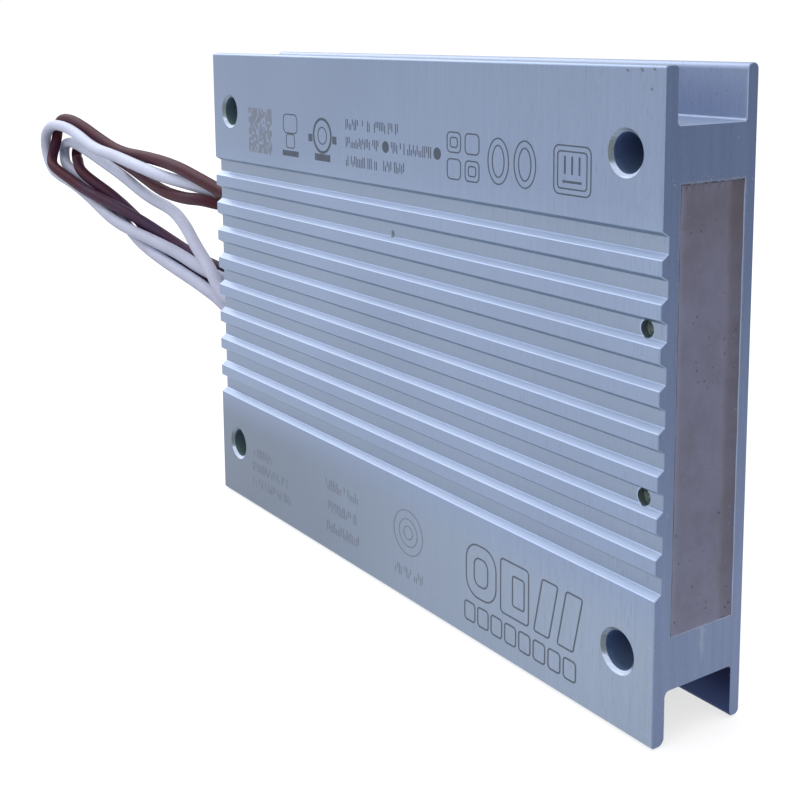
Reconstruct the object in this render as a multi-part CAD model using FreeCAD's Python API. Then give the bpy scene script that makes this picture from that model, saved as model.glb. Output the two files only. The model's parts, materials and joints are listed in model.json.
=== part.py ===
import FreeCAD, Part
import math
import os

# Flat braking resistor in an aluminium housing, with two loose connection leads.
# X runs along the housing, the ribbed front faces -Y, Z is up, all sizes in millimetres.
# The housing stands on the tips of its lower flanges, over the middle of its footprint.

Vector = FreeCAD.Vector

# Housing: an extruded profile cut to length, two flanged channels around one hollow
body_length = 110.0
body_depth = 15.0
body_height = 80.0
front_flange = 2.1
front_wall = 2.85
back_wall = 1.8
channel_depth = 6.65
web_height = 6.7
front_tip_radius = 0.5
back_tip_radius = 0.75
lower_front_tip_radius = 1.0
channel_corner_radius = 0.4
lower_channel_fillet = 0.7
saw_edge_chamfer = 0.1

# Grooves across the front between the two webs
groove_count = 9
groove_pitch = 5.0
groove_depth = 1.0
groove_floor = 1.9
groove_upper_flank = 0.6
groove_lower_flank = 0.7
groove_crest_radius = 0.2
groove_root_radius = 0.1

# Mounting holes bored through the webs, vent holes in two groove floors, a punched dimple
hole_diameter = 4.8
hole_end_distance = 6.0
hole_front_rim = 5.8
hole_back_rim = 5.2
vent_diameter = 2.1
vent_end_distance = 3.0
vent_grooves = (3, 7)
dimple_groove = 2
dimple_diameter = 0.9
dimple_depth = 0.35
dimple_offset = 0.5

# Cast end seals and the dams behind them
potting_recess = 0.5
potting_length = 7.0
dam_thickness = 1.0
dam_fit_gap = 0.1

# Insulating sheets around the filler
sheet_thickness = 0.5

# Filler block and the pocket for the two wound cards
filler_end_wall = 1.5
pocket_gap = 0.3

# Wound cards: a mica sheet each, with a wire around it
card_edge_distance = 8.65
card_thickness = 0.8
divider_thickness = 0.5
divider_gap = 0.1
wire_diameter = 0.5
wire_gap = 0.2
turn_count = 22
first_turn_inset = 2.4
edge_bend_share = 0.93
tail_bend_radius = 0.8
tail_straight = 0.2
tail_slope = 1.0

# Crimped joints between the leads and the wires, and the link between the two cards
crimp_length = 5.0
crimp_diameter = 2.4
crimp_card_distance = 1.5
crimp_wall_gap = 0.5
conductor_depth = 2.2
wire_depth = 1.5
bore_gap = 0.1
link_length = 4.0
link_wall = 1.2

# Leads: insulated strands wound together into a loose hank beside the left end
lead_diameter = 2.5
conductor_diameter = 1.2
lead_fit_gap = 0.05
lead_exit_drop = 13.65
arc_share = 0.45
sleeve_diameter = 3.4
sleeve_length = 5.5
sleeve_chamfer = 0.3
pin_diameter = 1.5
pin_length = 7.0

# Centre lines of the leads, from the face of the left end seal to the end sleeves; x from that
# face, y from the middle of the depth and z from the level where the brown lead leaves it
brown_points = [
    (0.0, -1.0, 0.0), (-7.5, -1.0, 0.0), (-19.5, -1.0, 2.0), (-32.5, -0.6, 3.8),
    (-48.5, 0.4, 4.3), (-64.5, 0.6, 4.2), (-75.5, 0.4, 6.4), (-87.5, 0.0, 9.4),
    (-96.5, 0.0, 10.2), (-102.8, 0.5, 8.8), (-103.4, 0.1, 4.2), (-102.9, -1.5, 0.4),
    (-99.4, -2.8, -1.4), (-94.1, -2.5, -2.8), (-88.7, -1.9, -4.2), (-82.8, -1.3, -5.8),
    (-74.4, -0.6, -7.1), (-64.7, 0.5, -8.7), (-54.1, 1.6, -10.7), (-43.5, 2.7, -13.2),
    (-34.2, 3.4, -15.2), (-26.2, 3.8, -16.2), (-17.5, 4.4, -16.8), (-7.0, 5.4, -17.2),
    (-3.0, 5.2, -12.0), (-3.5, 5.0, -6.0), (-8.5, 3.6, -2.4), (-14.5, 0.9, -2.4),
    (-21.0, -0.8, -1.8), (-28.5, -0.8, -2.4), (-40.5, -0.2, -2.2), (-55.5, 2.0, -0.6),
    (-70.0, 4.6, 0.4), (-83.0, 5.0, 2.4), (-91.5, 5.0, 3.8), (-98.0, 5.1, 4.2),
    (-102.8, 5.0, 2.0), (-100.6, 4.2, -1.1), (-95.2, 2.3, 0.1), (-91.5, 0.9, -1.0),
    (-88.0, 0.4, -2.3), (-82.5, 0.8, -3.9), (-74.3, 2.1, -6.4), (-65.0, 3.1, -9.8),
    (-54.6, 3.1, -13.2), (-44.0, 2.6, -16.2), (-34.7, 2.1, -18.4), (-24.0, 2.4, -19.9),
    (-14.5, 3.0, -20.9),
]
white_points = [
    (0.0, 2.2, 1.0), (-8.0, 2.2, 1.0), (-20.5, 1.9, -0.4), (-29.5, 0.6, 0.4),
    (-38.5, -1.2, 1.2), (-48.5, -2.4, 2.7), (-60.5, -2.6, 4.0), (-72.5, -2.6, 4.7),
    (-83.5, -2.5, 7.6), (-92.5, -2.5, 8.7), (-99.5, -2.6, 8.4), (-105.0, -2.2, 5.6),
    (-106.2, -1.7, 1.4), (-104.0, -1.2, -2.8), (-99.4, -0.8, -4.2), (-94.7, -0.4, -5.0),
    (-89.5, 0.1, -6.3), (-83.2, 0.5, -8.1), (-75.1, 0.0, -9.9), (-65.3, -0.9, -11.4),
    (-54.4, -1.0, -12.4), (-43.5, -0.4, -13.4), (-34.0, 0.4, -14.7), (-25.9, 0.9, -16.4),
    (-17.0, 1.6, -17.4), (-8.5, 2.2, -17.8), (-3.4, 1.9, -18.5), (-3.2, -1.7, -19.5),
    (-7.5, -2.3, -19.5), (-12.2, -1.9, -18.0), (-16.2, -1.5, -15.0), (-24.7, -0.6, -11.4),
    (-31.0, 0.4, -8.4), (-40.5, 2.0, -6.2), (-55.5, 3.0, -5.2), (-68.0, 2.5, -2.4),
    (-83.5, 2.1, 0.8), (-92.5, 2.0, 2.6), (-99.0, 2.2, 3.6), (-104.3, 2.5, 3.0),
    (-103.6, 2.0, -1.1), (-99.6, 1.2, -2.0), (-94.4, 1.5, -2.9), (-89.2, 2.2, -4.3),
    (-83.0, 2.8, -6.4), (-75.0, 2.7, -9.1), (-65.5, 1.8, -12.4), (-54.9, 0.4, -14.8),
    (-44.0, -0.4, -16.3), (-34.4, -0.7, -17.5), (-26.2, -0.7, -18.6), (-19.5, -0.8, -19.6),
    (-14.2, -0.8, -20.6), (-7.0, -0.6, -23.2), (-5.2, -0.4, -28.5), (-5.0, -0.2, -34.0),
]

# Places that several pieces share
half_length = body_length / 2
half_depth = body_depth / 2
middle_z = body_height / 2
front_y = -half_depth
back_y = half_depth
web_bottom_z = channel_depth
web_top_z = body_height - channel_depth
hollow_front_y = front_y + front_wall
hollow_back_y = back_y - back_wall
hollow_bottom_z = web_bottom_z + web_height
hollow_top_z = web_top_z - web_height
groove_width = groove_upper_flank + groove_floor + groove_lower_flank
top_groove_z = middle_z + (groove_count - 1) * groove_pitch / 2 + groove_width / 2
potting_face_x = half_length - potting_recess
dam_face_x = potting_face_x - potting_length
filler_end_x = dam_face_x - dam_thickness
pocket_end_x = filler_end_x - filler_end_wall
wire_offset = card_thickness / 2 + wire_gap + wire_diameter / 2
winding_thickness = 2 * wire_offset + wire_diameter
stack_y = (hollow_front_y + hollow_back_y) / 2
card_spacing = divider_thickness + 2 * pocket_gap + winding_thickness
front_card_y = stack_y - card_spacing / 2
back_card_y = stack_y + card_spacing / 2
card_height = hollow_top_z - hollow_bottom_z - 2 * card_edge_distance
card_length = 2 * (pocket_end_x - crimp_wall_gap - crimp_length - crimp_card_distance)
edge_z = card_height / 2 + wire_gap + wire_diameter / 2
pocket_half_depth = card_spacing / 2 + winding_thickness / 2 + pocket_gap
pocket_half_height = edge_z + wire_diameter / 2 + pocket_gap
exit_level = Vector(-potting_face_x, 0, hollow_top_z - lead_exit_drop)
brown_route = [exit_level + Vector(*point) for point in brown_points]
white_route = [exit_level + Vector(*point) for point in white_points]
link_start_x = card_length / 2 + crimp_card_distance
crimp_right_x = -link_start_x
crimp_left_x = crimp_right_x - crimp_length


def block(x_range, y_range, z_range):
    """Box between two limits on each axis."""
    low = Vector(x_range[0], y_range[0], z_range[0])
    size = Vector(x_range[1], y_range[1], z_range[1]) - low
    return Part.makeBox(size.x, size.y, size.z, low)


def rod(diameter, start, end):
    """Round bar from one point to another."""
    run = end - start
    return Part.makeCylinder(diameter / 2, run.Length, start, run)


def rounded_wire(points, radii, closed=False):
    """Straight runs joined by tangent arcs, one radius for each corner."""
    count = len(points)
    corners = range(count) if closed else range(1, count - 1)
    nodes = [] if closed else [(points[0], None, points[0])]
    for index, radius in zip(corners, radii):
        corner = points[index]
        incoming = (corner - points[index - 1]).normalize()
        outgoing = (points[(index + 1) % count] - corner).normalize()
        half_turn = incoming.getAngle(outgoing) / 2
        trim = radius * math.tan(half_turn)
        inward = (outgoing - incoming).normalize()
        middle = corner + inward * (radius / math.cos(half_turn) - radius)
        nodes.append((corner - incoming * trim, middle, corner + outgoing * trim))
    nodes.append(nodes[0] if closed else (points[-1], None, points[-1]))
    edges = []
    for before, after in zip(nodes, nodes[1:]):
        edges.append(Part.LineSegment(before[2], after[0]).toShape())
        if (after[2] - after[0]).Length > 0:
            edges.append(Part.Arc(*after).toShape())
    return Part.Wire(edges)


def tube(wire, diameter):
    """Round section swept along a path of straight runs and tangent arcs."""
    first = wire.Edges[0]
    start = first.valueAt(first.FirstParameter)
    heading = first.tangentAt(first.FirstParameter)
    ring = Part.Wire(Part.makeCircle(diameter / 2, start, heading))
    return wire.makePipeShell([ring], True, False)


def groove_top(number):
    """Height of the upper edge of a groove, counted from the top."""
    return top_groove_z - (number - 1) * groove_pitch


def groove_floor_middle(number):
    """Height of the middle of a groove's floor."""
    return groove_top(number) - groove_upper_flank - groove_floor / 2


def groove_corners(number):
    """Four corners of one groove, from the bottom up, each with its radius."""
    top = groove_top(number)
    floor_y = front_y + groove_depth
    floor_top = top - groove_upper_flank
    return [
        (front_y, top - groove_width, groove_crest_radius),
        (floor_y, floor_top - groove_floor, groove_root_radius),
        (floor_y, floor_top, groove_root_radius),
        (front_y, top, groove_crest_radius),
    ]


def profile_corners():
    """Outline of the housing section as (y, z, radius), clockwise from the front foot."""
    flange_y = front_y + front_flange
    wall_y = back_y - back_wall
    corners = [(front_y, 0.0, front_tip_radius)]
    for number in range(groove_count, 0, -1):
        corners += groove_corners(number)
    corners += [
        (front_y, body_height, front_tip_radius),
        (flange_y, body_height, front_tip_radius),
        (flange_y, web_top_z, channel_corner_radius),
        (wall_y, web_top_z, channel_corner_radius),
        (wall_y, body_height, back_tip_radius),
        (back_y, body_height, back_tip_radius),
        (back_y, 0.0, back_tip_radius),
        (wall_y, 0.0, back_tip_radius),
        (wall_y, web_bottom_z, channel_corner_radius),
        (flange_y, web_bottom_z, lower_channel_fillet),
        (flange_y, 0.0, lower_front_tip_radius),
    ]
    return corners


def mounting_hole(x, z):
    """Bore through the whole depth, with a bevelled rim on the front and a finer one behind."""
    bore = rod(hole_diameter, Vector(x, front_y, z), Vector(x, back_y, z))
    radius = hole_diameter / 2
    front_bevel = (hole_front_rim - hole_diameter) / 2
    back_bevel = (hole_back_rim - hole_diameter) / 2
    inward = Vector(0, 1, 0)
    front = Part.makeCone(radius + front_bevel, radius, front_bevel, Vector(x, front_y, z), inward)
    back = Part.makeCone(radius + back_bevel, radius, back_bevel, Vector(x, back_y, z), -inward)
    return bore.fuse([front, back])


def saw_edges(solid):
    """All edges of the two cut ends, around the profile and around the hollow."""
    found = []
    for edge in solid.Edges:
        box = edge.BoundBox
        flat = box.XLength < Part.Precision.approximation()
        at_end = abs(abs(box.Center.x) - half_length) < Part.Precision.approximation()
        if flat and at_end:
            found.append(edge)
    return found


def housing():
    """Extruded profile with its hollow, bevelled cut ends, bores, vents and dimple."""
    corners = profile_corners()
    points = [Vector(-half_length, y, z) for y, z, radius in corners]
    radii = [radius for y, z, radius in corners]
    section = Part.Face(rounded_wire(points, radii, closed=True))
    solid = section.extrude(Vector(body_length, 0, 0))
    hollow = block(
        (-half_length, half_length),
        (hollow_front_y, hollow_back_y),
        (hollow_bottom_z, hollow_top_z),
    )
    solid = solid.cut(hollow)
    solid = solid.makeChamfer(saw_edge_chamfer, saw_edges(solid))
    cuts = []
    hole_x = half_length - hole_end_distance
    for z in (web_bottom_z + web_height / 2, web_top_z - web_height / 2):
        for x in (-hole_x, hole_x):
            cuts.append(mounting_hole(x, z))
    for number in vent_grooves:
        place = Vector(half_length - vent_end_distance, front_y, groove_floor_middle(number))
        cuts.append(rod(vent_diameter, place, Vector(place.x, hollow_front_y, place.z)))
    dimple = Vector(0, front_y + groove_depth, groove_floor_middle(dimple_groove) - dimple_offset)
    cuts.append(Part.makeCone(dimple_diameter / 2, 0, dimple_depth, dimple, Vector(0, 1, 0)))
    return solid.cut(cuts)


def root_hole(route, gap, x_range):
    """Passage for the straight root of a lead through one of the inner pieces."""
    y = route[0].y
    z = route[0].z
    return rod(lead_diameter + 2 * gap, Vector(x_range[0], y, z), Vector(x_range[1], y, z))


def end_pottings():
    """Cast seals that fill both ends of the hollow; the leads leave through the left one."""
    y_range = (hollow_front_y, hollow_back_y)
    z_range = (hollow_bottom_z, hollow_top_z)
    right = block((dam_face_x, potting_face_x), y_range, z_range)
    left_x = (-potting_face_x, -dam_face_x)
    left = block(left_x, y_range, z_range)
    left = left.cut([root_hole(route, lead_fit_gap, left_x) for route in (brown_route, white_route)])
    return {"end_potting_left": left, "end_potting_right": right}


def end_dams():
    """Thin plates that hold the filler back while the ends are cast."""
    y_range = (hollow_front_y + dam_fit_gap, hollow_back_y - dam_fit_gap)
    z_range = (hollow_bottom_z + dam_fit_gap, hollow_top_z - dam_fit_gap)
    right = block((filler_end_x, dam_face_x), y_range, z_range)
    left_x = (-dam_face_x, -filler_end_x)
    left = block(left_x, y_range, z_range)
    left = left.cut([root_hole(route, dam_fit_gap, left_x) for route in (brown_route, white_route)])
    return {"end_dam_left": left, "end_dam_right": right}


def insulating_sheets():
    """Sheets that line the four walls of the hollow between the dams."""
    x_range = (-filler_end_x, filler_end_x)
    inner_y = (hollow_front_y + sheet_thickness, hollow_back_y - sheet_thickness)
    z_range = (hollow_bottom_z, hollow_top_z)
    return {
        "sheet_front": block(x_range, (hollow_front_y, inner_y[0]), z_range),
        "sheet_back": block(x_range, (inner_y[1], hollow_back_y), z_range),
        "sheet_bottom": block(x_range, inner_y, (hollow_bottom_z, hollow_bottom_z + sheet_thickness)),
        "sheet_top": block(x_range, inner_y, (hollow_top_z - sheet_thickness, hollow_top_z)),
    }


def filler():
    """Compacted filling with one pocket for the wound cards and two passages to the leads."""
    solid = block(
        (-filler_end_x, filler_end_x),
        (hollow_front_y + sheet_thickness, hollow_back_y - sheet_thickness),
        (hollow_bottom_z + sheet_thickness, hollow_top_z - sheet_thickness),
    )
    pocket = block(
        (-pocket_end_x, pocket_end_x),
        (stack_y - pocket_half_depth, stack_y + pocket_half_depth),
        (middle_z - pocket_half_height, middle_z + pocket_half_height),
    )
    wall_x = (-filler_end_x, -pocket_end_x)
    passages = [root_hole(route, dam_fit_gap, wall_x) for route in (brown_route, white_route)]
    return solid.cut([pocket] + passages)


def cards():
    """Two cards that carry the wires, with a plain sheet between them."""
    x_range = (-card_length / 2, card_length / 2)
    z_range = (middle_z - card_height / 2, middle_z + card_height / 2)
    divider_half = pocket_half_height - divider_gap
    pieces = {
        "card_divider": block(
            x_range,
            (stack_y - divider_thickness / 2, stack_y + divider_thickness / 2),
            (middle_z - divider_half, middle_z + divider_half),
        )
    }
    for name, y in (("card_front", front_card_y), ("card_back", back_card_y)):
        pieces[name] = block(x_range, (y - card_thickness / 2, y + card_thickness / 2), z_range)
    return pieces


def winding(card_y, side, route):
    """Wire wound along a card, its tails on the outer face and level with the lead.

    side is -1 where the outer face looks forward and 1 where it looks back.
    """
    tail_y = route[0].y
    tail_z = route[0].z
    outer_y = card_y + side * wire_offset
    inner_y = card_y - side * wire_offset
    low_z = middle_z - edge_z
    high_z = middle_z + edge_z
    first_x = first_turn_inset - card_length / 2
    pitch = (card_length - 2 * first_turn_inset) / turn_count
    bend_x = crimp_right_x + tail_straight
    points = [Vector(crimp_right_x - wire_depth, tail_y, tail_z), Vector(bend_x, tail_y, tail_z)]
    points += [Vector(bend_x + tail_slope, outer_y, tail_z), Vector(first_x, outer_y, tail_z)]
    for turn in range(turn_count):
        x = first_x + turn * pitch
        points += [Vector(x, outer_y, high_z), Vector(x, inner_y, high_z)]
        points += [Vector(x, inner_y, low_z), Vector(x, outer_y, low_z)]
    points += [Vector(-first_x, outer_y, tail_z), Vector(-bend_x - tail_slope, outer_y, tail_z)]
    points += [Vector(-bend_x, card_y, tail_z), Vector(link_start_x + wire_depth, card_y, tail_z)]
    edge_bend = edge_bend_share * wire_offset
    radii = [tail_bend_radius] * 3 + [edge_bend] * (4 * turn_count) + [tail_bend_radius] * 3
    return tube(rounded_wire(points, radii), wire_diameter)


def crimp(route):
    """Barrel that takes the bare conductor from one side and the wire from the other."""
    y = route[0].y
    z = route[0].z
    left_end = Vector(crimp_left_x, y, z)
    right_end = Vector(crimp_right_x, y, z)
    barrel = rod(crimp_diameter, left_end, right_end)
    conductor_stop = left_end + Vector(conductor_depth, 0, 0)
    conductor_bore = rod(conductor_diameter + bore_gap, left_end, conductor_stop)
    wire_bore = rod(wire_diameter + bore_gap, right_end - Vector(wire_depth, 0, 0), right_end)
    return barrel.cut([conductor_bore, wire_bore])


def link():
    """Block at the far end of the cards that joins the two wires."""
    ends = [
        Vector(link_start_x, front_card_y, brown_route[0].z),
        Vector(link_start_x, back_card_y, white_route[0].z),
    ]
    levels = sorted(end.z for end in ends)
    solid = block(
        (link_start_x, link_start_x + link_length),
        (ends[0].y - link_wall, ends[1].y + link_wall),
        (levels[0] - link_wall, levels[1] + link_wall),
    )
    bores = [rod(wire_diameter + bore_gap, end, end + Vector(wire_depth, 0, 0)) for end in ends]
    return solid.cut(bores)


def lead_root(route):
    """Straight start of a lead inside the end seal, stripped where it enters the crimp."""
    y = route[0].y
    z = route[0].z
    sheath_end = Vector(-pocket_end_x, y, z)
    sheath = rod(lead_diameter, Vector(-potting_face_x, y, z), sheath_end)
    conductor_end = Vector(crimp_left_x + conductor_depth, y, z)
    return sheath.fuse(rod(conductor_diameter, sheath_end, conductor_end))


def lead_wire(route):
    """Centre line of a lead: at each point the largest arc that its two runs allow."""
    radii = []
    for before, corner, after in zip(route, route[1:], route[2:]):
        incoming = corner - before
        outgoing = after - corner
        half_turn = incoming.getAngle(outgoing) / 2
        radii.append(arc_share * min(incoming.Length, outgoing.Length) / math.tan(half_turn))
    return rounded_wire(route, radii), radii


def lead(name, route):
    """Loose part of a lead, with its length, smallest radii and volume printed."""
    wire, radii = lead_wire(route)
    solid = tube(wire, lead_diameter)
    expected = math.pi * lead_diameter ** 2 / 4 * wire.Length
    print(name, "length", round(wire.Length, 1))
    print(name, "volume over section times length", round(solid.Volume / expected, 5))
    print(name, "radii", [round(radius, 1) for radius in radii])
    return solid


def end_sleeve(route):
    """Insulated collar against the end of a lead, and the tinned pin that leaves it."""
    heading = (route[-1] - route[-2]).normalize()
    collar_end = route[-1] + heading * sleeve_length
    collar = rod(sleeve_diameter, route[-1], collar_end)
    rims = [edge for edge in collar.Edges if edge.Closed]
    collar = collar.makeChamfer(sleeve_chamfer, rims)
    pin = rod(pin_diameter, collar_end, collar_end + heading * pin_length)
    return collar, pin


def build():
    """All pieces by name."""
    nodes = {"housing": housing(), "filler": filler(), "wire_link": link()}
    nodes.update(end_pottings())
    nodes.update(end_dams())
    nodes.update(insulating_sheets())
    nodes.update(cards())
    nodes["winding_front"] = winding(front_card_y, -1, brown_route)
    nodes["winding_back"] = winding(back_card_y, 1, white_route)
    for colour, route in (("brown", brown_route), ("white", white_route)):
        nodes["crimp_" + colour] = crimp(route)
        nodes["lead_root_" + colour] = lead_root(route)
        nodes["lead_" + colour] = lead("lead_" + colour, route)
        collar, pin = end_sleeve(route)
        nodes["sleeve_" + colour] = collar
        nodes["sleeve_pin_" + colour] = pin
    return nodes


os.makedirs("parts", exist_ok=True)
for name, shape in build().items():
    solid = shape.Solids[0]
    print(name, "solids", len(shape.Solids), "valid", solid.isValid(), "volume", round(solid.Volume, 2))
    solid.exportStep("parts/" + name + ".step")
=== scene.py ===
# %% [markdown]
# A flat braking resistor: a length of extruded aluminium, ribbed on the front, closed at both
# ends with cast resin, with a brown and a white lead wound into a loose hank beside it.
# The packed part brings every solid at its real size and place. This script gives those solids
# their finishes, and adds what only shows on the surface: the uneven resin, the etched marks
# and the smooth line of the leads.

# %% Load the packed part
import json
import math
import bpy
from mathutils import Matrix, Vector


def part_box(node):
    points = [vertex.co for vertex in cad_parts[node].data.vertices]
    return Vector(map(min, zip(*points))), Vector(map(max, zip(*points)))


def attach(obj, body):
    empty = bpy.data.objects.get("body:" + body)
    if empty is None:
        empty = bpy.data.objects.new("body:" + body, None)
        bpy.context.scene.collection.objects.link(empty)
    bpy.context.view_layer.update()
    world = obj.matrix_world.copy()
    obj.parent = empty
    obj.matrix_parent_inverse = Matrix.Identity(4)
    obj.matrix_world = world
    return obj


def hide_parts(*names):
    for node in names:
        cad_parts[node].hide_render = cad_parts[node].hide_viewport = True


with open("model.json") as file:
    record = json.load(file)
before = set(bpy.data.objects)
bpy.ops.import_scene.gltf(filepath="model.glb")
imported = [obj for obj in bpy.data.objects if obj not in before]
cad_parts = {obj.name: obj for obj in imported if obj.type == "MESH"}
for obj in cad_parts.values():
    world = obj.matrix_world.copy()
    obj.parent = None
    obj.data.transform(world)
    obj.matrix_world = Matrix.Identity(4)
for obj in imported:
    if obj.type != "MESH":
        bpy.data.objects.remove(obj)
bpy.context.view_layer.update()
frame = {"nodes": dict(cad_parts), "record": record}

from types import SimpleNamespace

import bpy
import numpy as np
from mathutils import Matrix, Vector

nodes = frame["nodes"]
MM = 0.001

# %% [markdown]
# The camera comes first, because everything after it is judged through it. It stands at the
# right end of the housing, a little above its middle, and looks along the front towards the
# leads. A vertical shift frames the part without tipping the view, as a shift lens does.

# %% Camera
FRAME_SIDE = 800
FOCAL_PIXELS = 1312.17
CENTRE_ROW = 224.10
SENSOR_WIDTH = 36.0
HEADING = math.radians(145.760)
PITCH_DOWN = math.radians(8.571)
ROLL = math.radians(-0.474)
CAMERA_PLACE = Vector((157.02, -112.01, 84.39)) * MM


def camera_axes():
    """Right, up and backward unit vectors of the camera.

    forward is the heading in the floor's plane tipped down by the pitch; right is forward x up
    of the world; both cross axes are then turned about forward by the roll.
    """
    level = math.cos(PITCH_DOWN)
    forward = Vector((level * math.cos(HEADING), level * math.sin(HEADING), -math.sin(PITCH_DOWN)))
    right = forward.cross(Vector((0, 0, 1))).normalized()
    up = right.cross(forward)
    rolled_right = right * math.cos(ROLL) + up * math.sin(ROLL)
    rolled_up = up * math.cos(ROLL) - right * math.sin(ROLL)
    return rolled_right, rolled_up, -forward


camera_data = bpy.data.cameras.new("camera")
camera_data.sensor_width = SENSOR_WIDTH
camera_data.lens = FOCAL_PIXELS * SENSOR_WIDTH / FRAME_SIDE
camera_data.shift_y = (CENTRE_ROW - FRAME_SIDE / 2) / FRAME_SIDE
camera_data.clip_start = 0.01
camera = bpy.data.objects.new("camera", camera_data)
camera.matrix_world = Matrix.Translation(CAMERA_PLACE) @ Matrix(camera_axes()).transposed().to_4x4()
bpy.context.scene.collection.objects.link(camera)
bpy.context.scene.camera = camera
print("lens", round(camera_data.lens, 2), "mm, shift", round(camera_data.shift_y, 3))

# %% [markdown]
# The leads are next. Each is a stranded wire in a soft sheath, 2.5 mm thick, folded out and back
# twice. The stiffness of the copper holds the hank out beside the housing. A NURBS curve of
# order 3 runs smoothly past a given list of points, and its bevel gives it the round
# section. Blender adds each point's radius to a curve's box, so the lead's thickness is kept in
# the points, and the bevel is 1: the box is then as large as the lead.

# %% Leads
LEAD_DIAMETER = 2.5 * MM
BEVEL_STEPS = 6
CURVE_STEPS = 10
BROWN_POINTS = [
    (0.0, -1.0, 0.0), (-7.5, -1.0, 0.0), (-19.5, -1.0, 2.0), (-32.5, -0.6, 3.8),
    (-48.5, 0.4, 4.3), (-64.5, 0.6, 4.2), (-75.5, 0.4, 6.4), (-87.5, 0.0, 9.4),
    (-96.5, 0.0, 10.2), (-102.8, 0.5, 8.8), (-103.4, 0.1, 4.2), (-102.9, -1.5, 0.4),
    (-99.4, -2.8, -1.4), (-94.1, -2.5, -2.8), (-88.7, -1.9, -4.2), (-82.8, -1.3, -5.8),
    (-74.4, -0.6, -7.1), (-64.7, 0.5, -8.7), (-54.1, 1.6, -10.7), (-43.5, 2.7, -13.2),
    (-34.2, 3.4, -15.2), (-26.2, 3.8, -16.2), (-17.5, 4.4, -16.8), (-7.0, 5.4, -17.2),
    (-3.0, 5.2, -12.0), (-3.5, 5.0, -6.0), (-8.5, 3.6, -2.4), (-14.5, 0.9, -2.4),
    (-21.0, -0.8, -1.8), (-28.5, -0.8, -2.4), (-40.5, -0.2, -2.2), (-55.5, 2.0, -0.6),
    (-70.0, 4.6, 0.4), (-83.0, 5.0, 2.4), (-91.5, 5.0, 3.8), (-98.0, 5.1, 4.2),
    (-103.8, 5.1, 1.8), (-101.4, 4.3, -1.1), (-95.2, 2.3, 0.1), (-91.5, 0.9, -1.0),
    (-88.0, 0.4, -2.3), (-82.5, 0.8, -3.9), (-74.3, 2.1, -6.4), (-65.0, 3.1, -9.8),
    (-54.6, 3.1, -13.2), (-44.0, 2.6, -16.2), (-34.7, 2.1, -18.4), (-24.0, 2.4, -19.9),
    (-14.5, 3.0, -20.9),
]
WHITE_POINTS = [
    (0.0, 2.2, 1.0), (-8.0, 2.2, 1.0), (-20.5, 1.9, -0.4), (-29.5, 0.6, 0.4),
    (-38.5, -1.2, 1.2), (-48.5, -2.4, 2.7), (-60.5, -2.6, 4.0), (-72.5, -2.6, 4.7),
    (-83.5, -2.5, 7.6), (-92.5, -2.5, 8.7), (-99.5, -2.6, 8.4), (-105.0, -2.2, 5.6),
    (-106.2, -1.7, 1.4), (-104.0, -1.2, -2.8), (-99.4, -0.8, -4.2), (-94.7, -0.4, -5.0),
    (-89.5, 0.1, -6.3), (-83.2, 0.5, -8.1), (-75.1, 0.0, -9.9), (-65.3, -0.9, -11.4),
    (-54.4, -1.0, -12.4), (-43.5, -0.4, -13.4), (-34.0, 0.4, -14.7), (-25.9, 0.9, -16.4),
    (-17.0, 1.6, -17.4), (-8.5, 2.2, -17.8), (-3.4, 1.9, -18.5), (-3.2, -1.7, -19.5),
    (-7.5, -2.3, -19.5), (-12.2, -1.9, -18.0), (-16.2, -1.5, -15.0), (-24.7, -0.6, -11.4),
    (-31.0, 0.4, -8.4), (-40.5, 2.0, -6.2), (-55.5, 3.0, -5.2), (-68.0, 2.5, -1.6),
    (-83.5, 2.1, 1.7), (-92.5, 2.0, 3.4), (-99.8, 2.3, 4.1), (-105.2, 2.6, 3.0),
    (-104.4, 2.2, -0.9), (-99.6, 1.2, -2.0), (-94.4, 1.5, -2.9), (-89.2, 2.2, -4.3),
    (-83.0, 2.8, -6.4), (-75.0, 2.7, -9.1), (-65.5, 1.8, -12.4), (-54.9, 0.4, -14.8),
    (-44.0, -0.4, -16.3), (-34.4, -0.7, -17.5), (-26.2, -0.7, -18.6), (-19.5, -0.8, -19.6),
    (-14.2, -0.8, -20.6), (-7.0, -0.6, -23.2), (-5.2, -0.4, -28.5), (-5.0, -0.2, -34.0),
]


root_low, root_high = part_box("lead_root_brown")
EXIT_LEVEL = np.array((root_low[0], 0.0, (root_low[2] + root_high[2]) / 2))


def spline_length(points):
    """Length of the clamped order-3 spline over these control points.

    Between the middles of two neighbouring runs each stretch is a parabola whose handle is the
    point between them; its length is the sum of its chords at small steps.
    """
    points = np.array(points)
    middles = (points[1:] + points[:-1]) / 2
    starts = middles[:-1].copy()
    ends = middles[1:].copy()
    starts[0] = points[0]
    ends[-1] = points[-1]
    t = np.linspace(0, 1, 33)[:, None, None]
    line = starts * (1 - t) ** 2 + 2 * points[1:-1] * t * (1 - t) + ends * t ** 2
    return float(np.linalg.norm(np.diff(line, axis=0), axis=2).sum())


def make_lead(name, points):
    """Round lead along the NURBS curve of the route, riding on the part in place of its tube."""
    curve = bpy.data.curves.new(name, "CURVE")
    curve.dimensions = "3D"
    curve.resolution_u = CURVE_STEPS
    curve.bevel_depth = 1.0
    curve.bevel_resolution = BEVEL_STEPS
    curve.use_fill_caps = True
    spline = curve.splines.new("NURBS")
    spline.points.add(len(points) - 1)
    spline.points.foreach_set("co", np.column_stack([points, np.ones(len(points))]).ravel())
    spline.points.foreach_set("radius", np.full(len(points), LEAD_DIAMETER / 2))
    spline.order_u = 3
    spline.use_endpoint_u = True
    lead = bpy.data.objects.new(name, curve)
    bpy.context.scene.collection.objects.link(lead)
    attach(lead, "root")
    print(name, "length", round(spline_length(points) / MM, 1), "mm")
    return lead


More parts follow.
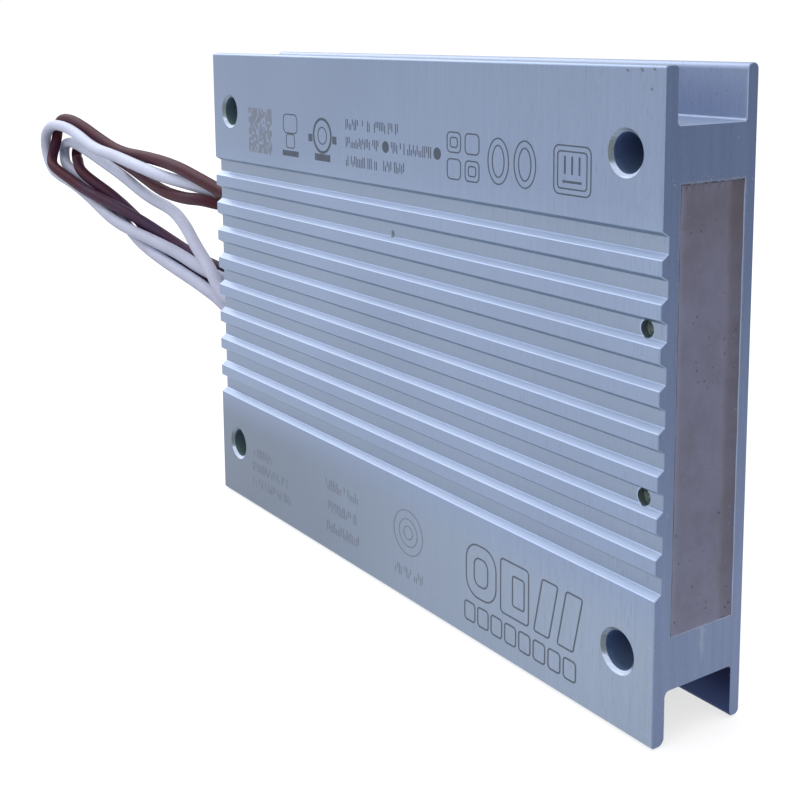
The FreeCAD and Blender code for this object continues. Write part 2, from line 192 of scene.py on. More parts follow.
leads = {}
for colour, route in (("brown", BROWN_POINTS), ("white", WHITE_POINTS)):
    points = EXIT_LEVEL + np.array(route) * MM
    lead = make_lead("smooth_lead_" + colour, points)
    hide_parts("lead_" + colour)
    spline_length(points)
    leads[colour] = lead

# %% [markdown]
# Every finish is a small sum: a base colour times a few patterns, and a height that becomes a
# bump. Written node by node, such a sum is hard to read. The class below wraps one output of a
# shader and overloads the arithmetic signs, so that 1 - mask * 0.5 adds the Math nodes it needs.

# %% A number, colour or vector on its way through a shader


class Signal:
    """A number, colour or vector that flows through a shader."""

    def __init__(self, finish, socket):
        self.finish = finish
        self.socket = socket

    def math(self, operation, first, second=0.0):
        return self.finish.add("ShaderNodeMath", {"operation": operation}, {0: first, 1: second})

    def __add__(self, other):
        return self.math("ADD", self, other)

    def __radd__(self, other):
        return self.math("ADD", other, self)

    def __sub__(self, other):
        return self.math("SUBTRACT", self, other)

    def __rsub__(self, other):
        return self.math("SUBTRACT", other, self)

    def __mul__(self, other):
        return self.math("MULTIPLY", self, other)

    def __rmul__(self, other):
        return self.math("MULTIPLY", other, self)

    def __pow__(self, other):
        return self.math("POWER", self, other)

    def __abs__(self):
        return self.math("ABSOLUTE", self)

    def at_least(self, other):
        return self.math("MAXIMUM", self, other)

    def at_most(self, other):
        return self.math("MINIMUM", self, other)

    def ramp(self, start, end):
        """0 at start, 1 at end and a smooth step between; start may be the higher of the two."""
        settings = {"interpolation_type": "SMOOTHSTEP"}
        values = {"Value": self, "From Min": start, "From Max": end}
        return self.finish.add("ShaderNodeMapRange", settings, values)

    def band(self, start, full, still_full, end):
        """0 up to start, 1 from full to still_full, 0 from end on."""
        return self.ramp(start, full) * self.ramp(end, still_full)

    def past(self, low, high):
        """How far a coordinate lies past the nearer end of a range; negative inside it."""
        return abs(self - (low + high) / 2) - (high - low) / 2

    def parts(self):
        """The three coordinates of a vector."""
        split = self.finish.add("ShaderNodeSeparateXYZ", {}, {0: self})
        return [Signal(self.finish, output) for output in split.socket.node.outputs]


print("signs and methods of a signal:", len([name for name in vars(Signal) if name != "__init__"]))

# %% [markdown]
# Everything that isn't plain arithmetic goes through one method, which takes a node's type, its
# settings and its sockets. The patterns that many finishes share, such as clouds and scattered
# dots, are short methods on top of it.

# %% A finish under construction


class Finish:
    """Node tree of a material or world under construction."""

    def __init__(self, tree):
        self.tree = tree

    def add(self, kind, settings, values, output=0):
        """Node of one type: its settings first, then the numbers or links of its sockets."""
        node = self.tree.nodes.new(kind)
        for name, setting in settings.items():
            setattr(node, name, setting)
        for name, value in values.items():
            self.feed(node.inputs[name], value)
        return Signal(self, node.outputs[output])

    def feed(self, socket, value):
        if isinstance(value, Signal):
            self.tree.links.new(value.socket, socket)
        else:
            socket.default_value = value

    def place(self):
        """The piece's own coordinates, in millimetres."""
        metres = self.add("ShaderNodeTexCoord", {}, {}, "Object")
        return self.add("ShaderNodeVectorMath", {"operation": "SCALE"}, {0: metres, "Scale": 1 / MM})

    def facing(self):
        """The direction that the bare surface faces."""
        return self.add("ShaderNodeNewGeometry", {}, {}, "True Normal")

    def stretch(self, vector, factors):
        return self.add("ShaderNodeVectorMath", {"operation": "MULTIPLY"}, {0: vector, 1: factors})

    def clouds(self, vector, scale, detail=2.0, roughness=0.5):
        """Uneven pattern from 0 to 1, with about scale swells in a millimetre."""
        values = {"Vector": vector, "Scale": scale, "Detail": detail, "Roughness": roughness}
        return self.add("ShaderNodeTexNoise", {"normalize": True}, values)

    def dots(self, vector, scale, size):
        """1 inside scattered dots: the distance from each cell's centre stays under size."""
        cells = self.add("ShaderNodeTexVoronoi", {"feature": "F1"}, {"Vector": vector, "Scale": scale})
        return cells.ramp(size, size * 0.5)

    def blend(self, factor, first, second):
        """Colour from first, where factor is 0, to second, where it is 1."""
        return self.add("ShaderNodeMix", {"data_type": "RGBA"}, {0: factor, 6: first, 7: second}, 2)

    def shade(self, colour, amount):
        """Colour times a number that varies over the surface."""
        return self.add("ShaderNodeVectorMath", {"operation": "SCALE"}, {0: colour, "Scale": amount})

    def bump(self, height, depth):
        """Normal that follows a height from 0 to 1, worth depth millimetres."""
        values = {"Strength": 1.0, "Distance": depth * MM, "Height": height}
        return self.add("ShaderNodeBump", {}, values)


def surface(name, build):
    """Material whose Principled sockets take what build returns for its finish."""
    material = bpy.data.materials.new(name)
    material.use_nodes = True
    finish = Finish(material.node_tree)
    shader = material.node_tree.nodes["Principled BSDF"]
    for socket, value in build(finish).items():
        finish.feed(shader.inputs[socket], value)
    return material


print("finish methods:", len([name for name in vars(Finish) if not name.startswith("_")]))

# %% [markdown]
# The housing is one extrusion of plain aluminium, and one material serves all of it, so the
# material has to know where it is. Painted masks would need the mesh unwrapped. Here a place is
# told by the direction that the surface faces, and by its distance from a hole's axis or a
# groove's floor. That needs no unwrapping and stays sharp at any distance.

# %% Places on the housing
body_low, body_high = [[c / MM for c in corner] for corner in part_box("housing")]
seal_low, seal_high = [[c / MM for c in corner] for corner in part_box("end_potting_right")]
GROOVE_FLOOR_Y = body_low[1] + 1.0
SLOPE_MIDDLE_Y = body_low[1] + 0.5
HOLE_X = 49.0
HOLE_MIDDLE_Z = 40.0
HOLE_RISE = 30.0
HOLE_RADIUS = 2.4
BEVEL_RADIUS = 2.9
VENT_X = 52.0
VENT_LEVELS = (50.05, 30.05)
VENT_RADIUS = 1.05
STAIN_X = 0.15
STAIN_Y = GROOVE_FLOOR_Y + 0.1
STAIN_Z = 54.35
STAIN_RADIUS = 0.58
UPPER_WEB_Z = 73.0
LOWER_WEB_Z = 6.8


def round_bores(x, z):
    """Distances in the front's plane from the nearest screw hole's and the nearest vent's axis."""
    hole = ((abs(x) - HOLE_X) ** 2.0 + (abs(z - HOLE_MIDDLE_Z) - HOLE_RISE) ** 2.0) ** 0.5
    middle = (VENT_LEVELS[0] + VENT_LEVELS[1]) / 2
    reach = (VENT_LEVELS[0] - VENT_LEVELS[1]) / 2
    vent = ((x - VENT_X) ** 2.0 + (abs(z - middle) - reach) ** 2.0) ** 0.5
    return hole, vent


def housing_places(finish):
    """The point, and a mask from 0 to 1 for each kind of place on the extrusion."""
    at = SimpleNamespace(place=finish.place())
    at.x, at.y, at.z = x, y, z = at.place.parts()
    across, depthwise, upward = finish.facing().parts()
    at.end = abs(across).ramp(0.8, 0.9) * abs(x).ramp(body_high[0] - 0.3, body_high[0] - 0.1)
    at.front = depthwise.ramp(-0.85, -0.95)
    ribs = y.ramp(GROOVE_FLOOR_Y + 0.2, GROOVE_FLOOR_Y + 0.1)
    at.groove = y.ramp(GROOVE_FLOOR_Y - 0.4, GROOVE_FLOOR_Y - 0.1) * ribs * at.front
    # The flank that faces down takes painted shade, the slope that faces up a painted highlight.
    at.flank = upward.ramp(-0.3, -0.6) * ribs
    at.slope = upward.ramp(0.3, 0.6) * ribs * z.ramp(body_high[2] - 3.0, body_high[2] - 4.0)
    at.slope_edge = abs(y - SLOPE_MIDDLE_Y).ramp(0.32, 0.42) * at.slope

    hole, vent = round_bores(x, z)
    punched = (1 - at.front) * y.ramp(0.5, -0.5)
    at.bore = hole.ramp(HOLE_RADIUS + 0.08, HOLE_RADIUS + 0.02)
    at.bevel = hole.ramp(BEVEL_RADIUS + 0.08, BEVEL_RADIUS + 0.02) * (1 - at.bore) * punched
    low_hole_z = HOLE_MIDDLE_Z - HOLE_RISE
    above_middle = z.ramp(HOLE_MIDDLE_Z - 1.0, HOLE_MIDDLE_Z + 1.0)
    at.bore_height = z - low_hole_z - above_middle * (2 * HOLE_RISE)
    at.vent = vent.ramp(VENT_RADIUS + 0.06, VENT_RADIUS + 0.02) * punched
    # One side of each vent's rim takes a painted highlight.
    rim_highlight_side = x.ramp(VENT_X + 0.4, VENT_X - 0.5) * ribs
    at.vent_rim = vent.ramp(VENT_RADIUS + 0.22, VENT_RADIUS + 0.10) * rim_highlight_side * 0.7
    from_stain = (x - STAIN_X) ** 2.0 + (y - STAIN_Y) ** 2.0 + (z - STAIN_Z) ** 2.0
    at.stain = from_stain.ramp(STAIN_RADIUS ** 2, (STAIN_RADIUS * 0.6) ** 2)

    back_flange = body_high[1] - 1.4
    inner = y.band(body_low[1] + 2.0, body_low[1] + 2.3, back_flange, back_flange + 0.4) * (1 - at.end)
    # The upper channel takes a painted light tone and the lower channel painted shade.
    at.upper_channel = z.ramp(UPPER_WEB_Z, UPPER_WEB_Z + 0.3) * inner
    at.lower_channel = z.ramp(LOWER_WEB_Z, LOWER_WEB_Z - 0.2) * inner
    return at


print("seal, across and up:", [round(high - low, 2) for low, high in zip(seal_low, seal_high)][1:], "mm")

# %% [markdown]
# A new extrusion is never clean. Brushing left upright strokes on the front, deeper towards the
# right end; the saw left a grain on the ends; handling left nicks at the top edge, small spots
# and dull scuffs; and the resin left a film and a run beside its seal. Each trace is a stretched
# cloud, a field of dots or a distance, held to its place by a mask.

# %% Wear of the housing
NICKS = ((49.1, 79.3, 0.32), (51.4, 79.4, 0.40), (53.3, 79.5, 0.30), (52.9, 77.3, 0.28))
NICK_DEPTH_Y = body_low[1] + 0.5
STREAK_Y = 0.6


def brushed(finish, place, on_front):
    """Brush strokes on the front and drawn lines elsewhere, from 0 to 1."""
    strokes = finish.clouds(finish.stretch(place, (2.6, 2.6, 0.09)), 1.0, 4.0, 0.6)
    fine = finish.clouds(finish.stretch(place, (7.0, 7.0, 0.35)), 1.0, 2.0, 0.6)
    drawn = finish.clouds(finish.stretch(place, (0.05, 3.0, 3.0)), 1.0, 3.0, 0.6)
    return on_front * (strokes * 0.6 + fine * 0.4) + (1 - on_front) * drawn


def nicked(at):
    """1 in small leaning ovals at the nicks, each fading from its size to less than half."""
    nicks = 0.0
    for nick_x, nick_z, size in NICKS:
        aside = at.x - nick_x
        leaning = (at.z - nick_z) * 1.5 + aside * 0.5
        nicks = (((aside ** 2.0) + (leaning ** 2.0)) ** 0.5).ramp(size, size * 0.4) + nicks
    return nicks * at.y.ramp(NICK_DEPTH_Y + 0.2, NICK_DEPTH_Y)


def housing_wear(finish, at):
    """The traces on the housing, from 0 to 1 each."""
    place, x, y, z = at.place, at.x, at.y, at.z
    wear = SimpleNamespace(grain=brushed(finish, place, at.front.at_least(at.upper_channel)))
    wear.drift = finish.clouds(place, 0.035, 2.0, 0.5)
    wear.sawn = finish.clouds(finish.stretch(place, (1.0, 0.9, 0.05)), 1.0, 3.0, 0.6)
    wear.pale_dots = finish.dots(place, 0.55, 0.12) * finish.clouds(place, 0.16, 1.0).ramp(0.55, 0.66)
    wear.dark_dots = finish.dots(place, 0.9, 0.09) * finish.clouds(place, 0.11, 1.0).ramp(0.56, 0.66)
    wear.specks = finish.dots(place, 1.1, 0.13) * at.upper_channel
    wear.nicks = nicked(at)
    scuffs = finish.clouds(finish.stretch(place, (4.5, 4.5, 0.42)), 1.0, 5.0, 0.75).ramp(0.54, 0.70)
    towards_right = 0.15 + x.ramp(8.0, 45.0) * 0.85
    wear.scuffs = scuffs * at.front * towards_right * wear.drift.ramp(0.30, 0.55)

    waves = finish.clouds(place, 1.3, 3.0, 0.6) - 0.5
    from_seal = y.past(seal_low[1], seal_high[1]).at_least(z.past(seal_low[2], seal_high[2]))
    wear.film = (from_seal + waves * 0.9).ramp(0.42, 0.02) * at.end
    wear.run = abs(y - STREAK_Y + waves * 0.8).ramp(0.55, 0.10) * z.band(8.0, 11.0, 13.4, 14.2) * at.end
    wear.flecks = finish.dots(place, 1.7, 0.20) * z.band(66.2, 66.7, 67.0, 67.6) * at.end
    return wear


print("nicks:", len(NICKS))

# %% [markdown]
# The metal is a pale blue-grey, and its colour also carries painted light and shade: the flank
# above each groove gets painted shade; the slope below it, its edges and one side of each vent's
# rim a painted highlight; the upper channel a painted light tone; the lower channel, the bores and
# the vents painted shade, dark and bluish, with a painted highlight on the lower bevels; and the
# ends painted shade, darker towards the top. The colours are laid over each other in that order,
# the small spots last.

# %% Colour of the housing
ALUMINIUM = (0.230, 0.290, 0.415, 1.0)
ALUMINIUM_WARM = (0.262, 0.312, 0.385, 1.0)
ALUMINIUM_PALE_AND_LIT = (0.315, 0.392, 0.565, 1.0)
ALUMINIUM_SHADED = (0.210, 0.270, 0.320, 1.0)
ALUMINIUM_EDGE_HIGHLIGHT = (0.410, 0.510, 0.740, 1.0)
ALUMINIUM_DULL = (0.235, 0.285, 0.375, 1.0)
ALUMINIUM_DARK = (0.110, 0.128, 0.150, 1.0)
END_SHADE_LOW = (0.168, 0.215, 0.335, 1.0)
END_SHADE_HIGH = (0.108, 0.145, 0.245, 1.0)
BEVEL_TOP = (0.190, 0.240, 0.310, 1.0)
BEVEL_OLIVE = (0.150, 0.182, 0.200, 1.0)
BEVEL_HIGHLIGHT = (0.480, 0.560, 0.740, 1.0)
BORE_SHADE = (0.066, 0.112, 0.260, 1.0)
BORE_SHADE_GREEN = (0.085, 0.140, 0.150, 1.0)
VENT_SHADE = (0.110, 0.150, 0.160, 1.0)
CHANNEL_LIT = (0.295, 0.365, 0.535, 1.0)
CHANNEL_SHADE = (0.009, 0.014, 0.048, 1.0)
CHANNEL_SHADE_NAVY = (0.030, 0.048, 0.120, 1.0)
RESIN_FILM = (0.190, 0.210, 0.290, 1.0)
RESIDUE = (0.340, 0.380, 0.480, 1.0)
DIMPLE_STAIN = (0.072, 0.105, 0.115, 1.0)
LOWER_BAND_Z = 19.0


def bore_colours(finish, at):
    """Painted shade of the bores' walls and colours of their bevels, with a painted highlight low on each
    bevel, by height and by end.
    """
    green = at.x.ramp(0.0, -10.0) * 0.7 + at.bore_height.ramp(0.5, -2.2) * 0.3
    bevel = finish.blend(at.bore_height.ramp(-1.7, -0.9), BEVEL_HIGHLIGHT, BEVEL_OLIVE)
    bevel = finish.blend(at.bore_height.ramp(0.6, 2.0), bevel, BEVEL_TOP)
    return finish.blend(green, BORE_SHADE, BORE_SHADE_GREEN), bevel


def housing_colour(finish, at, wear):
    """The metal's colours by place, with painted highlight and shade, and the traces over them."""
    bore, bevel = bore_colours(finish, at)
    # Painted shade in the lower channel, navy towards the floor.
    low_channel_shade = finish.blend(at.z.ramp(5.5, 0.0), CHANNEL_SHADE, CHANNEL_SHADE_NAVY)
    # The ends take painted shade, darker towards the top.
    sawn = finish.blend(at.z.ramp(4.0, 74.0), END_SHADE_LOW, END_SHADE_HIGH)
    spots = wear.nicks * 0.8 + wear.dark_dots * 0.45 + wear.specks * 0.6
    layers = (
        (at.front * at.z.ramp(LOWER_BAND_Z, LOWER_BAND_Z - 7.0) * 0.6, ALUMINIUM_WARM),
        (at.groove * 0.75, ALUMINIUM_DULL),
        # Painted shade on the flanks; painted highlight on the slopes, their edges and the vents' rims.
        (at.flank * 0.8, ALUMINIUM_SHADED),
        (at.slope * 0.9, ALUMINIUM_PALE_AND_LIT),
        ((at.slope_edge + at.vent_rim).at_most(1.0) * 0.8, ALUMINIUM_EDGE_HIGHLIGHT),
        # Painted light tone in the upper channel; painted shade in the lower channel, the bores and the
        # vents, with a painted highlight on the lower bevels.
        (at.upper_channel * 0.9, CHANNEL_LIT),
        (at.lower_channel, low_channel_shade),
        (at.bore, bore),
        (at.vent, VENT_SHADE),
        (at.bevel, bevel),
        # Painted shade on the ends, darker towards the top.
        (at.end, sawn),
        (wear.film * 0.65, RESIN_FILM),
        ((wear.run * 0.30 + wear.flecks * 0.6).at_most(1.0), RESIDUE),
        (wear.pale_dots * 0.35, ALUMINIUM_PALE_AND_LIT),
        (at.stain * 0.9, DIMPLE_STAIN),
        (spots.at_most(1.0), ALUMINIUM_DARK),
    )
    colour = ALUMINIUM
    for cover, layer in layers:
        colour = finish.blend(cover, colour, layer)
    return colour


print("housing colours ready")

# %% [markdown]
# What is left is how bright and how metallic each place is. The strokes lighten and darken the
# metal a little, most at the right end; the slopes' painted highlight is raised and the flanks'
# painted shade lifted. A fully metallic surface only mirrors, so the film, the stain, the painted
# slopes, the painted upper channel and the shaded bores are taken off the metallic share to keep
# their colour.

# %% Finish of the housing


def housing_level(at, wear):
    """Brightness over the surface, around 1."""
    upper_band = at.z.ramp(66.0, 58.0) * 0.11
    lower_band = at.z.ramp(LOWER_BAND_Z + 2.0, LOWER_BAND_Z - 6.0) * (0.34 - at.x.ramp(-50.0, 40.0) * 0.36)
    # Bands by height on the front; the slopes' painted highlight is raised and the flanks' painted shade
    # lifted.
    tone = at.front * (upper_band - lower_band) + at.flank * 0.30 + at.slope * 0.16
    strokes = (wear.grain - 0.5) * (0.12 + at.x.ramp(-60.0, 50.0) * 0.22 + at.bevel * 0.6)
    broad = (wear.drift - 0.5) * 0.18 + at.end * (wear.sawn - 0.5) * 0.30
    return 1.0 + tone + strokes + broad - wear.scuffs * 0.24


def housing_values(finish):
    at = housing_places(finish)
    wear = housing_wear(finish, at)
    hidden = wear.film * 0.7 + wear.run * 0.3 + at.stain * 0.8 + at.upper_channel * 0.55
    hidden = hidden + (at.bore + at.vent) * 0.9 + at.bevel * 0.5 + at.slope * 0.75
    roughness = 0.40 + (wear.grain - 0.5) * 0.18 + wear.dark_dots * 0.2
    height = wear.grain * 0.8 - wear.nicks * 1.5 - wear.dark_dots * 0.5 - wear.scuffs * 0.4
    return {
        "Base Color": finish.shade(housing_colour(finish, at, wear), housing_level(at, wear)),
        "Metallic": (1.0 - hidden).at_least(0.0),
        "Roughness": roughness + at.end * 0.08 + at.groove * 0.06 + at.bore * 0.4,
        "Normal": finish.bump(height, 0.012),
    }


aluminium = surface("brushed_aluminium", housing_values)
print("nodes in the housing's finish:", len(aluminium.node_tree.nodes))

# %% [markdown]
# The resin that closes the ends is filled with fine sand. It cures to a dull lilac-brown with
# pores, pale grains and clouds. It is darker towards the top, and painted shade darkens the edge
# along the back wall, where it is hollow.

# %% Resin finish
RESIN = (0.155, 0.161, 0.258, 1.0)
RESIN_WARM = (0.088, 0.078, 0.112, 1.0)
RESIN_PALE = (0.300, 0.310, 0.420, 1.0)
RESIN_EDGE = (0.190, 0.215, 0.330, 1.0)
RESIN_PORE = (0.045, 0.040, 0.050, 1.0)


def resin_values(finish):
    place = finish.place()
    y, z = place.parts()[1:]
    swells = finish.clouds(place, 0.20, 4.0, 0.6)
    patches = finish.clouds(place, 0.45, 4.0, 0.65)
    grit = finish.clouds(place, 2.6, 2.0, 0.6)
    pores = finish.dots(place, 0.9, 0.16) * finish.clouds(place, 0.35, 1.0).ramp(0.50, 0.58)
    grains = finish.dots(place, 1.2, 0.13) * finish.clouds(place, 0.30, 1.0).ramp(0.56, 0.62)
    # Painted shade along the back wall, where the face is hollow.
    hollow_edge_shade = y.ramp(seal_high[1] - 2.8, seal_high[1] - 1.2)
    upper = z.ramp(50.0, 66.0)
    front_edge = (y + (swells - 0.5) * 1.6).ramp(seal_low[1] + 1.3, seal_low[1] + 0.1)
    warm = (swells.ramp(0.40, 0.70) * 0.30 + hollow_edge_shade * 0.55 + upper * 0.42).at_most(1.0)
    colour = finish.blend(warm, RESIN, RESIN_WARM)
    colour = finish.blend(z.ramp(24.0, 15.0) * swells * 0.30, colour, RESIN_PALE)
    colour = finish.blend(front_edge * 0.55, colour, RESIN_EDGE)
    colour = finish.blend(grains * 0.55, colour, RESIN_PALE)
    colour = finish.blend(pores * 0.75, colour, RESIN_PORE)
    level = 0.92 + (patches - 0.5) * 0.45 + (grit - 0.5) * 0.14
    return {
        "Base Color": finish.shade(colour, level),
        "Roughness": 0.46 + (grit - 0.5) * 0.25,
        "Normal": finish.bump(swells * 0.5 + grit * 0.15 - pores * 0.8, 0.10),
    }


# %% [markdown]
# The sheaths are smooth silicone with a soft gloss. What keeps them from looking like plain
# paint is a slight unevenness from extruding and a little dust, so the colour drifts by a few
# percent and the gloss breaks up. The lower turns of the hank also get painted shade: the same
# darker colour, half of the way, below a height.

# %% Lead finishes
BROWN_SHEATH = (0.054, 0.010, 0.018, 1.0)
BROWN_DUSTY_SHADED = (0.046, 0.030, 0.082, 1.0)
WHITE_SHEATH = (0.550, 0.595, 0.760, 1.0)
WHITE_SOILED_SHADED = (0.400, 0.410, 0.540, 1.0)


def sheath_values(finish, clean, soiled_and_shaded):
    place = finish.place()
    drift = finish.clouds(place, 0.12, 3.0, 0.55)
    dust = finish.clouds(place, 1.6, 3.0, 0.6)
    # Below a height the sheath gets painted shade.
    low = place.parts()[2].ramp(52.0, 42.0)
    cover = low * 0.5 + drift.ramp(0.35, 0.75) * 0.3 + dust.ramp(0.5, 0.75) * 0.2
    return {
        "Base Color": finish.blend(cover, clean, soiled_and_shaded),
        "Roughness": 0.50 + (dust - 0.5) * 0.25,
        "Normal": finish.bump(dust * 0.6 + drift * 0.4, 0.04),
        "Specular IOR Level": 0.08,
    }


# %% [markdown]
# Etched marks are burnt into the front by a laser: a dull brown-grey trace without the gloss of
# the metal. Some were burnt more lightly than others, so the trace comes in three depths.

# %% Etched finishes
ETCH_DEEP = (0.058, 0.078, 0.116, 1.0)
ETCH_MIDDLE = (0.092, 0.112, 0.150, 1.0)
ETCH_LIGHT = (0.205, 0.240, 0.310, 1.0)
ETCH_WORN = (0.150, 0.180, 0.235, 1.0)


def etch_values(finish, tone):
    place = finish.place()
    burn = finish.clouds(place, 4.0, 3.0, 0.65)
    patches = finish.clouds(place, 0.5, 2.0, 0.5)
    worn = burn.ramp(0.35, 0.75) * 0.35 + patches.ramp(0.4, 0.7) * 0.2
    return {
        "Base Color": finish.blend(worn, tone, ETCH_WORN),
        "Metallic": 0.4 + patches * 0.2,
        "Roughness": 0.62 + (burn - 0.5) * 0.3,
        "Normal": finish.bump(burn, 0.01),
    }


# %% [markdown]
# The resin that has risen into the vents gets painted shade in the depth and a painted amber glint
# near the bore's wall on its right side, so its colour follows the distance from the bore's axis.

# %% Vent finish
VENT_PLUG_SHADE = (0.085, 0.135, 0.135, 1.0)
VENT_PLUG_GLINT = (0.420, 0.470, 0.230, 1.0)


def vent_values(finish):
    place = finish.place()
    x, z = place.parts()[::2]
    vent = round_bores(x, z)[1]
    swells = finish.clouds(place, 1.2, 3.0, 0.6)
    # A painted glint near the bore's wall on the right side; the rest of the plug is painted shade.
    glint = vent.ramp(VENT_RADIUS * 0.60, VENT_RADIUS * 0.92) * x.ramp(VENT_X, VENT_X + 0.5)
    return {
        "Base Color": finish.blend(glint * (0.6 + swells * 0.4), VENT_PLUG_SHADE, VENT_PLUG_GLINT),
        "Roughness": 0.16 + swells * 0.10,
        "Normal": finish.bump(swells, 0.03),
    }


# %% [markdown]
# The inner pieces never show, but a part that is taken apart should still read as real material:
# layered mica, pressed board, sandy filler, drawn wire and tinned crimps.

# %% Inner finishes


def mottled_values(finish, base, other, scale, roughness, depth, metallic=0.0):
    """Two colours in a cloudy pattern with a bump of the same grain."""
    place = finish.place()
    swells = finish.clouds(place, scale, 4.0, 0.6)
    grit = finish.clouds(place, scale * 9.0, 2.0, 0.6)
    return {
        "Base Color": finish.blend(swells.ramp(0.3, 0.7) * 0.7 + grit * 0.2, base, other),
        "Roughness": roughness + (grit - 0.5) * 0.2,
        "Metallic": metallic,
        "Normal": finish.bump(swells * 0.4 + grit * 0.6, depth),
    }


def mottled(name, *values):
    return surface(name, lambda finish: mottled_values(finish, *values))


finishes = {
    "housing_aluminium": aluminium,
    "potting_resin": surface("cast_resin", resin_values),
    "lead_brown": surface("brown_sheath", lambda f: sheath_values(f, BROWN_SHEATH, BROWN_DUSTY_SHADED)),
    "lead_white": surface("white_sheath", lambda f: sheath_values(f, WHITE_SHEATH, WHITE_SOILED_SHADED)),
    "dam_board": mottled("pressed_board", (0.42, 0.33, 0.22, 1), (0.52, 0.44, 0.32, 1), 0.4, 0.75, 0.05),
    "mica_sheet": mottled("layered_mica", (0.52, 0.45, 0.34, 1), (0.64, 0.58, 0.48, 1), 0.3, 0.35, 0.02),
    "filler_cement": mottled("sand_filler", (0.55, 0.52, 0.46, 1), (0.68, 0.66, 0.62, 1), 0.9, 0.85, 0.15),
    "resistance_wire": mottled(
        "drawn_wire", (0.30, 0.28, 0.27, 1), (0.42, 0.40, 0.38, 1), 1.0, 0.32, 0.01, 1.0
    ),
    "crimp_metal": mottled(
        "tinned_crimp", (0.62, 0.60, 0.56, 1), (0.74, 0.72, 0.68, 1), 0.8, 0.30, 0.02, 1.0
    ),
    "sleeve_plastic": mottled(
        "sleeve_plastic", (0.26, 0.28, 0.33, 1), (0.34, 0.36, 0.41, 1), 0.5, 0.36, 0.02
    ),
    "sleeve_metal": mottled(
        "tinned_pin", (0.62, 0.62, 0.64, 1), (0.76, 0.76, 0.78, 1), 0.7, 0.28, 0.01, 1.0
    ),
}
etch_deep = surface("etched_deep", lambda f: etch_values(f, ETCH_DEEP))
etch_middle = surface("etched_middle", lambda f: etch_values(f, ETCH_MIDDLE))
etch_light = surface("etched_light", lambda f: etch_values(f, ETCH_LIGHT))
vent_resin = surface("dark_resin_glint", vent_values)
print("finishes:", len(bpy.data.materials))

# %% [markdown]
# The packed solids arrive with plain colours. Their record names a material slot for each, and
# every slot now has its finish, so dressing them is one loop over the record.

# %% Dress the solids
for entry in frame["record"]["subparts"]:
    data = nodes[entry["node"]].data
    data.materials.clear()
    data.materials.append(finishes[entry["material_slot"]])
for colour, lead in leads.items():
    lead.data.materials.append(finishes["lead_" + colour])

# %% [markdown]
# New surfaces are computed as whole grids of points. A closed skin is such a grid for its front,
# the same grid pressed flat for its back, and a rim of faces that joins the two. A strip is a
# small section carried along a path.

# %% Grid helpers


def add_piece(name, points, faces, material, smooth=True):
    """Mesh object in metres from points in millimetres and lists of corners, riding on the part."""
    mesh = bpy.data.meshes.new(name)
    mesh.from_pydata((points * MM).tolist(), [], faces)
    mesh.materials.append(material)
    if smooth:
        mesh.shade_smooth()
    piece = bpy.data.objects.new(name, mesh)
    bpy.context.scene.collection.objects.link(piece)
    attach(piece, "root")
    return piece


def grid_faces(rows, columns, wrap_rows=False, wrap_columns=False):
    """Quads of a grid stored row by row, joined over its last row or column where it wraps."""
    row = np.arange(rows if wrap_rows else rows - 1)[:, None]
    column = np.arange(columns if wrap_columns else columns - 1)[None, :]
    next_row = (row + 1) % rows
    next_column = (column + 1) % columns
    quads = np.stack(
        [
            row * columns + column,
            row * columns + next_column,
            next_row * columns + next_column,
            next_row * columns + column,
        ],
        axis=-1,
    )
    return quads.reshape(-1, 4)


print("a closed band of 3 by 4 points has", len(grid_faces(3, 4, False, True)), "faces")

# %% [markdown]
# The resin is poured nearly flush and shrinks as it cures: its face lies inside the housing,
# sinks along the back wall, climbs the walls in a thin meniscus and has a ragged upper edge.
# The front of the skin is a height over the face of the solid seal, built from those four.

# %% Resin faces
SKIN_STEP = 0.22
SKIN_DEPTH = 0.1
SKIN_LEVEL = 0.24
MENISCUS_RISE = 0.20
MENISCUS_REACH = 0.30
TROUGH_DEPTH = 0.19
TROUGH_PLACE = 1.3
TROUGH_WIDTH = 0.9
RAGGED_RISE = 0.16
RAGGED_REACH = 0.5
SWELL_HEIGHT = 0.03
RIPPLE_HEIGHT = 0.02
LEAST_HEIGHT = 0.03
MOST_HEIGHT = 0.49


